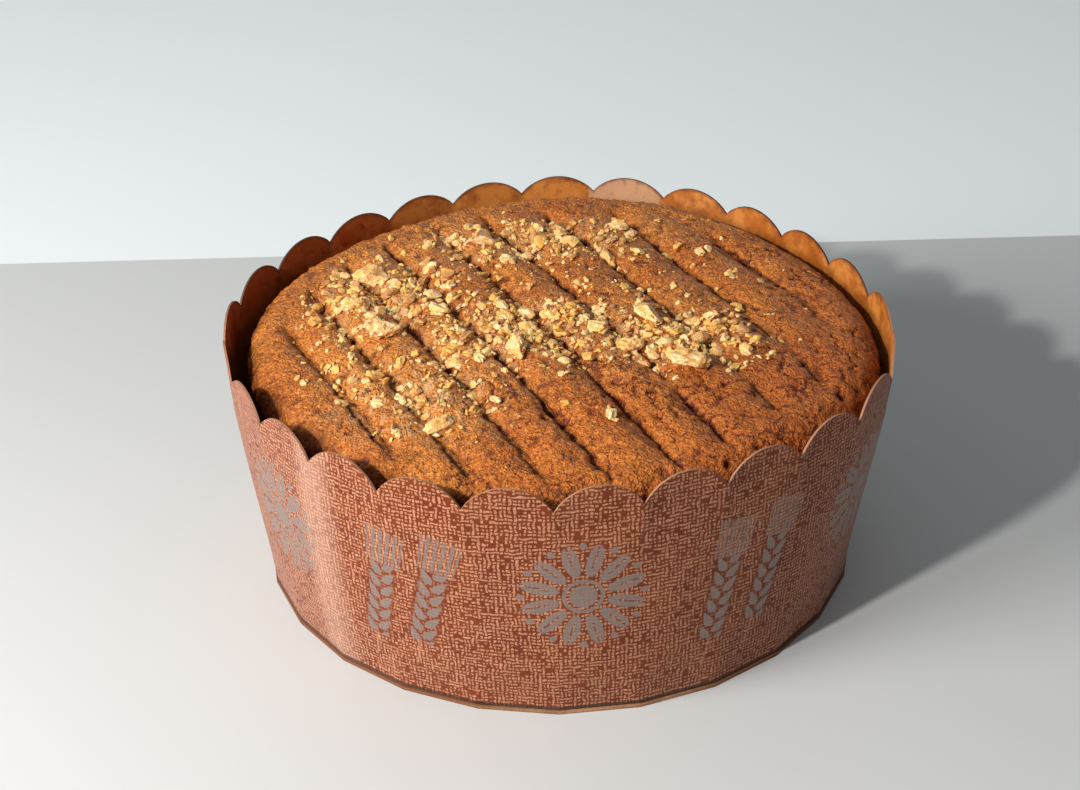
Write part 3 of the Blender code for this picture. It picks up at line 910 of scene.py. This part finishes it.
# Painted shade on the sides below the shoulder, in the gap beside the paper wall
with_painted_side_shade = mixed(z.ramp(60.0, 51.0) * 0.92, with_painted_crack_shade, (0.10, 0.009, 0.0015))
# Painted shade in the slits, pits and tears
coloured = mixed(painted_hollow_shade.ramp(0.22, 0.85) * 0.92, with_painted_side_shade, (0.12, 0.009, 0.005))
fine = grain(point, 0.55, 4.0, 0.72)
crumbly = bump(1 - crumbs_tiny, 0.3, bump(1 - crumbs_small, 0.5, bump(1 - cracked, 0.7)))
feed(
    shader,
    Base_Color=coloured,
    Roughness=0.40 + fine * 0.22 - (x - y).ramp(10.0, 90.0) * 0.15,
    Normal=bump(fine, 0.34, crumbly),
)
cake.data.materials.append(crust)

# %% [markdown]
# ## Chopped walnut: the shapes
# A knife breaks a walnut into lumps with flat fresh faces and a few rounded ones that keep their skin. So
# each part starts as a ball and is cut by a few planes, and two or three parts are joined off centre. A few
# shapes are enough, because each copy is turned, stretched and coloured on its own.

# %% Cut the nut shapes
NUT_SHAPES = 8
CRUMB_SHAPES = 6
BALL_RADIUS = 0.56
BALL_ROUGHNESS = (0.86, 1.1)
CLOSE_POINTS = 0.03
FIRST_PART = 0.8
OTHER_PARTS = (0.4, 0.6)
PART_SHIFT = 0.36


def own_box(piece):
    """The lowest and the highest corner of a mesh."""
    places = [vert.co for vert in piece.data.vertices]
    return [Vector([end(place[axis] for place in places) for axis in range(3)]) for end in (min, max)]


def to_unit_box(piece):
    low, high = own_box(piece)
    middle = Vector([(a + b) / 2 for a, b in zip(low, high)])
    stretch = Vector([1 / (b - a) for a, b in zip(low, high)])
    piece.data.transform(Matrix.Diagonal((*stretch, 1.0)) @ Matrix.Translation(-middle))
    return piece


def cut_nut(name, seed, cuts, subdivisions, bevel=0.0, depths=(0.2, 0.42)):
    """One broken piece about one metre across, to be scaled when it is laid."""
    draw = random.Random(seed)
    deselect_all()
    bpy.ops.mesh.primitive_ico_sphere_add(subdivisions=subdivisions, radius=BALL_RADIUS)
    piece = named(name)
    for vert in piece.data.vertices:
        vert.co *= draw.uniform(*BALL_ROUGHNESS)
    edit_mode()
    for _ in range(cuts):
        turn, rise = draw.uniform(0, 2 * pi), draw.uniform(-0.9, 0.9)
        flat_out = sqrt(1 - rise * rise)
        direction = Vector((flat_out * cos(turn), flat_out * sin(turn), rise))
        bpy.ops.mesh.select_all(action="SELECT")
        bpy.ops.mesh.bisect(
            plane_co=direction * draw.uniform(*depths), plane_no=direction, use_fill=True, clear_outer=True
        )
    bpy.ops.mesh.select_all(action="SELECT")
    bpy.ops.mesh.remove_doubles(threshold=CLOSE_POINTS)
    object_mode()
    if bevel:
        sharp = radians(25)
        apply_modifier(piece, "BEVEL", width=bevel, segments=1, limit_method="ANGLE", angle_limit=sharp)
    apply_modifier(piece, "TRIANGULATE")
    return to_unit_box(piece)


def clump(name, seed, pieces, **cut):
    """A few cut parts joined off centre, which gives the notches that a single cut ball can't have."""
    draw = random.Random(seed)
    parts = []
    for number in range(pieces):
        part = cut_nut(f"{name}_{number}", seed + 7 * number, **cut)
        size, move = FIRST_PART, Vector((0, 0, 0))
        if number > 0:
            size = draw.uniform(*OTHER_PARTS)
            move = Vector([draw.uniform(-PART_SHIFT, PART_SHIFT) for _ in range(3)])
        spin = Matrix.Rotation(draw.uniform(0, 2 * pi), 4, "Z")
        turn = spin @ Matrix.Rotation(draw.uniform(-1, 1), 4, "X")
        part.data.transform(Matrix.Translation(move) @ turn @ Matrix.Scale(size, 4))
        parts.append(part)
    only(parts[0])
    for part in parts[1:]:
        part.select_set(True)
    bpy.ops.object.join()
    return to_unit_box(named(name))


nut_shapes = [
    clump(f"nut_{number}", 40 + 30 * number, 3, cuts=7, subdivisions=2) for number in range(NUT_SHAPES)
]
crumb_shapes = [
    clump(f"crumb_{number}", 600 + 30 * number, 2, cuts=5, subdivisions=1) for number in range(CRUMB_SHAPES)
]
print("triangles in each nut shape:", [len(piece.data.polygons) for piece in nut_shapes])

# %% [markdown]
# ## Where the walnut lies
# The chips that are stuck to the crust are already in the solid model, placed by a seeded random draw. The
# same draw here gives the same places, so each detailed chip stands for its solid grain. Much smaller
# crumbs and flakes, which the solids leave out, are drawn thickest between the chips.

# %% Places of the chips
# Place, length, width and height in millimetres, and turn in degrees
LOOSE_PIECES = (
    (-46.5, 26, 10.5, 9.0, 5.0, 10),
    (-41.7, -7, 10.5, 7.0, 4.8, 12),
    (-18.5, 41.5, 8.0, 7.0, 5.0, -20),
    (30.5, -25.5, 11.8, 7.0, 4.8, -14),
    (-49.5, 8, 8.6, 6.0, 4.2, 20),
    (-26.6, -46.5, 10.4, 6.0, 4.2, 32),
    (22.5, -4, 11.4, 5.0, 4.4, -64),
    (17, -16.5, 8.4, 5.8, 4.0, 20),
    (-9.5, -18, 10.0, 5.6, 4.2, -80),
    (14, 32, 9.0, 4.4, 4.8, -75),
)
# Middle and two half widths of an oval in millimetres, and the number of chips in it
CHIP_PATCHES = (
    (-44, 14, 19, 20, 38),
    (-6, -9, 22, 16, 34),
    (30, -15, 17, 13, 25),
    (-5, 42, 27, 14, 26),
    (-34, -36, 20, 17, 13),
    (0, 5, 58, 52, 9),
)
CHIP_SEED = 25
CHIP_LENGTHS = (3.0 * MM, 3.2 * MM)  # the least, and the most that is added to it
CHIPS_WITHIN = 62 * MM
TRIES = 40


def chip_places():
    """Place, length and turn of each chip, drawn as the solid model draws them."""
    draw = random.Random(CHIP_SEED)
    wanted = []
    for x, y, half_length, half_width, count in CHIP_PATCHES:
        for _ in range(count):
            wanted.append((x * MM, y * MM, half_length * MM, half_width * MM, draw.random() ** 1.6))
    wanted.sort(key=lambda row: -row[4])
    taken = [(row[0] * MM, row[1] * MM, row[2] * MM, 0.6) for row in LOOSE_PIECES]
    chips = []
    for x, y, half_length, half_width, rank in wanted:
        length = CHIP_LENGTHS[0] + CHIP_LENGTHS[1] * rank
        for _ in range(TRIES):
            angle = draw.uniform(0, 2 * pi)
            reach = sqrt(draw.random())
            spot_x = x + half_length * reach * cos(angle)
            spot_y = y + half_width * reach * sin(angle)
            free = all(
                dist((spot_x, spot_y), (far_x, far_y)) > (length + size) * apart
                for far_x, far_y, size, apart in taken
            )
            if free and hypot(spot_x, spot_y) < CHIPS_WITHIN:
                taken.append((spot_x, spot_y, length, 0.5))
                chips.append((spot_x, spot_y, length, draw.uniform(0, 2 * pi)))
                break
    return chips


corners = [vert.co.copy() for vert in cake.data.vertices]
surface = BVHTree.FromPolygons(corners, [tuple(face.vertices) for face in cake.data.polygons])


def on_crust(x, y):
    """Height and normal of the crust below a point."""
    found, normal, _, _ = surface.ray_cast(Vector((x, y, 0.2)), Vector((0, 0, -1)))
    return found.z, normal


print("chips:", len(chip_places()))

# %% [markdown]
# ## Laying the pieces
# Thousands of loose objects would be slow and hard to hand on, so the copies go into one mesh as plain
# arrays: each copy is the shape's points, stretched, turned and moved. Each copy also carries a random tone
# as an attribute, which the material turns into cream, gold or a greyish skin.

# %% Lay copies into one mesh
def laid(name, shapes, copies):
    """One mesh of many copies. A copy is (shape number, size, turn matrix, place, tone)."""
    points, faces, tones, start = [], [], [], 0
    for number, size, turn, place, tone in copies:
        source = shapes[number].data
        flat_points = np.empty(len(source.vertices) * 3)
        source.vertices.foreach_get("co", flat_points)
        matrix = np.array(turn @ Matrix.Diagonal(size))
        points.append(flat_points.reshape(-1, 3) @ matrix.T + np.array(place))
        faces.extend([start + index for index in face.vertices] for face in source.polygons)
        tones.extend([tone] * len(source.vertices))
        start += len(source.vertices)
    mesh = bpy.data.meshes.new(name)
    mesh.from_pydata(np.concatenate(points).tolist(), [], faces)
    mesh.attributes.new("tone", "FLOAT", "POINT").data.foreach_set("value", tones)
    return placed(name, mesh)


def lie_on(normal, draw):
    """A random turn about the surface's normal, with a little tilt."""
    lie = Vector((0, 0, 1)).rotation_difference(normal).to_matrix()
    spin = Matrix.Rotation(draw.uniform(0, 2 * pi), 3, "Z")
    return lie @ spin @ Matrix.Rotation(draw.uniform(-0.6, 0.6), 3, "X")


CHIP_WIDTHS = (0.62, 0.85)  # this and the next four are shares of a length
CHIP_HEIGHTS = (0.4, 0.62)
SPLINTER_LENGTHS = (0.28, 0.5)
SPLINTER_WIDTHS = (0.5, 0.9)
SPLINTER_HEIGHTS = (0.4, 0.75)
SPLINTERS = (1, 2, 2, 3)
CHIP_TILT = radians(25)
CHIP_LIFT = 0.18  # the part of the height by which a middle stands above the crust
SPLINTER_LIFT = 0.25

copies, splinters = [], []
for number, (x, y, length, turn) in enumerate(chip_places()):
    draw = random.Random(CHIP_SEED + number)
    size = Vector((length, length * draw.uniform(*CHIP_WIDTHS), length * draw.uniform(*CHIP_HEIGHTS)))
    tilt = Matrix.Rotation(draw.uniform(-CHIP_TILT, CHIP_TILT), 3, "X")
    height, normal = on_crust(x, y)
    place = Vector((x, y, height + size.z * CHIP_LIFT))
    tone = draw.random()
    copies.append((number % NUT_SHAPES, size, Matrix.Rotation(turn, 3, "Z") @ tilt, place, tone))
    for _ in range(draw.choice(SPLINTERS)):
        bearing = draw.uniform(0, 2 * pi)
        bit = length * draw.uniform(*SPLINTER_LENGTHS)
        reach = 0.5 * length + 0.25 * bit
        bit_x, bit_y = x + reach * cos(bearing), y + reach * sin(bearing)
        height, normal = on_crust(bit_x, bit_y)
        wide, high = draw.uniform(*SPLINTER_WIDTHS), draw.uniform(*SPLINTER_HEIGHTS)
        bit_size = Vector((bit, bit * wide, bit * high))
        at = Vector((bit_x, bit_y, height)) + normal * (bit_size.z * SPLINTER_LIFT)
        shape, lie = draw.randrange(CRUMB_SHAPES), lie_on(normal, draw)
        splinters.append((shape, bit_size, lie, at, tone * 0.6 + draw.random() * 0.4))
chips = laid("chopped_walnut", nut_shapes, copies)
shade(chips, 16)
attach(chips, "root")
report(chips)

# %% [markdown]
# ## Crumbs of walnut
# Chopping also leaves grit, from three millimetres down to less than one. Some of it broke off beside each
# chip, and the rest gathers round the chips. It is drawn from simpler cut shapes of two parts each.

# %% Scatter the crumbs
# Middle and two half widths of a patch in millimetres, and the number of crumbs drawn for it
CRUMB_PATCHES = (
    (-44, 14, 17, 20, 260),
    (-8, -8, 24, 17, 330),
    (28, -13, 19, 14, 300),
    (-5, 43, 27, 13, 210),
    (-34, -36, 20, 16, 80),
    (2, 12, 50, 42, 290),
    (-50, -10, 12, 26, 90),
    (-30, -28, 26, 20, 60),
)
CRUMB_WIDTHS = (0.55, 0.95)
CRUMB_HEIGHTS = (0.3, 0.75)
CRUMB_LIFT = 0.2
CRUMB_SEED = 91
CRUMBS_WITHIN = 66 * MM
THICK_PATCHES = 5

draw = random.Random(CRUMB_SEED)
for x, y, half_length, half_width, count in CRUMB_PATCHES:
    for _ in range(count):
        spot_x = (x + half_length * draw.gauss(0, 0.5)) * MM
        spot_y = (y + half_width * draw.gauss(0, 0.5)) * MM
        if hypot(spot_x, spot_y) > CRUMBS_WITHIN:
            continue
        length = (0.7 + 2.1 * draw.random() ** 2.0) * MM
        size = Vector((length, length * draw.uniform(*CRUMB_WIDTHS), length * draw.uniform(*CRUMB_HEIGHTS)))
        height, normal = on_crust(spot_x, spot_y)
        place = Vector((spot_x, spot_y, height)) + normal * (size.z * CRUMB_LIFT)
        splinters.append((draw.randrange(CRUMB_SHAPES), size, lie_on(normal, draw), place, draw.random()))
crumbs = laid("walnut_crumbs", crumb_shapes, splinters)
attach(crumbs, "root")
report(crumbs)

# %% Dust between the nuts
DUST_FADE = 1.3


def dust_at(x, y):
    """How dusty the crust is, from 0 to 1, by its distance from the thick patches in millimetres."""
    thick = CRUMB_PATCHES[:THICK_PATCHES]
    away = [((x - row[0]) / row[2]) ** 2 + ((y - row[1]) / row[3]) ** 2 for row in thick]
    return min(1.0, sum(exp(-DUST_FADE * far) for far in away))


dusty = cake.data.attributes.new("dusty", "FLOAT", "POINT")
for vert in cake.data.vertices:
    dusty.data[vert.index].value = dust_at(vert.co.x / MM, vert.co.y / MM)

# %% [markdown]
# ## Loose walnut pieces
# Ten pieces are large enough to pick off one by one, and each is its own solid. Up close a piece of walnut
# kernel is lobed, with soft folds between the lobes and a few broken faces. Each starts as a finer cut ball,
# is roughened by two textures, and is stretched to the size of its solid.

# %% Model the loose pieces
FOLDS = (("lobes", 0.34, 0.24), ("wrinkles", 0.11, 0.09))  # name, size and strength of each texture
PRESSED_IN = 0.5 * MM  # below the cut underside of the solid, into the soft crust
KERNEL_TONES = (0.44, 0.24, 0.4, 0.36, 0.45, 0.3, 0.42, 0.45, 0.25, 0.5)
textures = []
for name, size, strength in FOLDS:
    texture = bpy.data.textures.new(name, "CLOUDS")
    texture.noise_scale = size
    textures.append((texture, strength))
loose = []
for number, (x, y, length, width, height, turn) in enumerate(LOOSE_PIECES, start=1):
    piece = cut_nut(f"walnut_kernel_{number}", 10 * number, 6, 3, bevel=0.02, depths=(0.26, 0.45))
    apply_modifier(piece, "SUBSURF", levels=2, render_levels=2, subdivision_type="SIMPLE")
    shift = Matrix.Translation((3.0 * number, 0, 0))  # to another part of both textures
    piece.data.transform(shift)
    for texture, strength in textures:
        apply_modifier(piece, "DISPLACE", texture=texture, strength=strength, mid_level=0.5)
    piece.data.transform(shift.inverted())
    piece.data.transform(Matrix.Diagonal((length * MM, width * MM, height * MM, 1.0)))
    piece.data.transform(Matrix.Rotation(radians(turn), 4, "Z"))
    own = own_box(piece)
    low, high = (Vector(corner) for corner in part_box(f"walnut_piece_{number}"))
    low.z -= PRESSED_IN
    stretch = [(b - a) / (d - c) for a, b, c, d in zip(low, high, *own)]
    enlarged = Matrix.Translation((low + high) / 2) @ Matrix.Diagonal((*stretch, 1.0))
    piece.data.transform(enlarged @ Matrix.Translation(-(own[0] + own[1]) / 2))
    tone = piece.data.attributes.new("tone", "FLOAT", "POINT")
    tone.data.foreach_set("value", [KERNEL_TONES[number - 1]] * len(piece.data.vertices))
    shade(piece, 40)
    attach(piece, "root")
    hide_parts(f"walnut_piece_{number}")
    loose.append(piece)
    report(piece)
for shape in nut_shapes + crumb_shapes:
    bpy.data.objects.remove(shape)

# %% [markdown]
# ## Walnut material
# Fresh walnut is pale cream and waxy. Roasting turns it gold towards its skin, and bits of the skin itself
# are brown and grey. The tone attribute picks the main colour of a piece, and noise breaks it up within the
# piece.

# %% Walnut material
walnut, tree, shader = material("walnut", Subsurface_Weight=0.4, Subsurface_Scale=2 * MM)
point = in_millimetres(tree)
tone = attribute(tree, "tone")
within = grain(point, 2.2, 3.0, 0.6)
mixed_tone = tone + (within - 0.5) * 0.9
cream = mixed(grain(point, 1.1, 2.0).ramp(0.35, 0.7), (0.94, 0.61, 0.31), (0.87, 0.46, 0.145))
golden = mixed(mixed_tone.ramp(0.34, 0.74), cream, (0.84, 0.42, 0.095))
hearted = mixed(grain(point, 4.5, 2.0).ramp(0.50, 0.64) * 0.6, golden, (0.88, 0.41, 0.055))
greyed = mixed(mixed_tone.ramp(0.74, 0.98) * 0.85, hearted, (0.46, 0.23, 0.095))
skin = mixed(grain(point, 3.1, 3.0, 0.65).ramp(0.62, 0.74) * 0.6, greyed, (0.27, 0.105, 0.03))
feed(
    shader,
    Base_Color=skin,
    Roughness=0.27 + within * 0.25,
    Normal=bump(grain(point, 0.6, 3.0, 0.6), 0.3),
)
for piece in [chips, crumbs, *loose]:
    piece.data.materials.append(walnut)
print("walnut pieces:", len(loose), "loose, with chips and crumbs")

# %% [markdown]
# ## Floor, backdrop and light
# The cake stands on a pale table in front of a pale wall. A wall close behind it would hide it from the
# back, so the wall's colour starts on the floor, where the photograph shows the table's far edge, and rises
# only two metres further on. Two lights make the shadow that the photograph has: a small lamp at the left
# front, whose place was worked out from the shadow that the scallops throw, draws its edge, and a broad
# window at the left softens it. A dim sky fills the rest.

# %% Stage
def plain_surface(name, colour, glow=0.0):
    """A matt surface. Its glow, if it has one, fades from left to right."""
    made, tree, shader = material(name, Roughness=0.6, Emission_Strength=glow)
    point = in_millimetres(tree)
    cloudy, dimmer = (tuple(share * value for value in colour) for share in (0.96, 0.72))
    tint = mixed(grain(point, 160.0, 2.0), colour, cloudy)
    feed(shader, Base_Color=tint, Emission_Color=mixed(axes(point)[0].ramp(-500.0, 600.0), tint, dimmer))
    return made


def stage_plane(name, size, place, turn, surface):
    deselect_all()
    bpy.ops.mesh.primitive_plane_add(size=1, location=place, rotation=(turn, 0, 0))
    made = named(name)
    made.data.transform(Matrix.Diagonal((*size, 1.0, 1.0)))
    made.data.materials.append(surface)
    settle(made)
    made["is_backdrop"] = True


FAR_EDGE = 0.16
REACH = 4.0
FAR_REACH = 2.0
table_surface = plain_surface("pale table", (0.60, 0.61, 0.605))
wall_surface = plain_surface("pale wall", (0.60, 0.64, 0.64), 0.45)
stage_plane("table", (2 * REACH, REACH), (0, FAR_EDGE - REACH / 2, 0), 0.0, table_surface)
stage_plane("far floor", (2 * REACH, FAR_REACH), (0, FAR_EDGE + FAR_REACH / 2, 0), 0.0, wall_surface)
stage_plane("backdrop", (2 * REACH, REACH), (0, FAR_EDGE + FAR_REACH, REACH / 2), pi / 2, wall_surface)

# %% Light
def lamp(name, kind, bearing, rise, distance, **settings):
    """A lamp seen from the middle of the base at a bearing from -X towards -Y, in degrees, and a rise."""
    turn, lift = radians(bearing), radians(rise)
    towards = Vector((-cos(turn) * cos(lift), -sin(turn) * cos(lift), sin(lift)))
    data = bpy.data.lights.new(name, kind)
    for setting, value in settings.items():
        setattr(data, setting, value)
    made = placed(name, data)
    made.location = towards * distance
    made.rotation_euler = towards.to_track_quat("Z", "Y").to_euler()


lamp("small lamp", "POINT", 49, 38, 0.7, energy=13.2, shadow_soft_size=0.018, color=(1.0, 0.97, 0.93))
lamp("window", "AREA", 26, 27, 0.95, energy=8.5, shape="DISK", size=0.42, color=(1.0, 0.98, 0.96))
world = bpy.data.worlds.new("soft room light")
world.use_nodes = True
world.node_tree.nodes["Background"].inputs["Color"].default_value = (0.90, 0.95, 1.0, 1.0)
world.node_tree.nodes["Background"].inputs["Strength"].default_value = 0.22
bpy.context.scene.world = world
bpy.context.scene.view_settings.view_transform = "Standard"

# %% Measure the result against the solid model
looks_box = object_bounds()
moved = [[round((b - a) / MM, 2) for a, b in zip(*pair)] for pair in zip(cad_box, looks_box)]
print("corners of the looks' box less those of the solids', in mm:", moved)
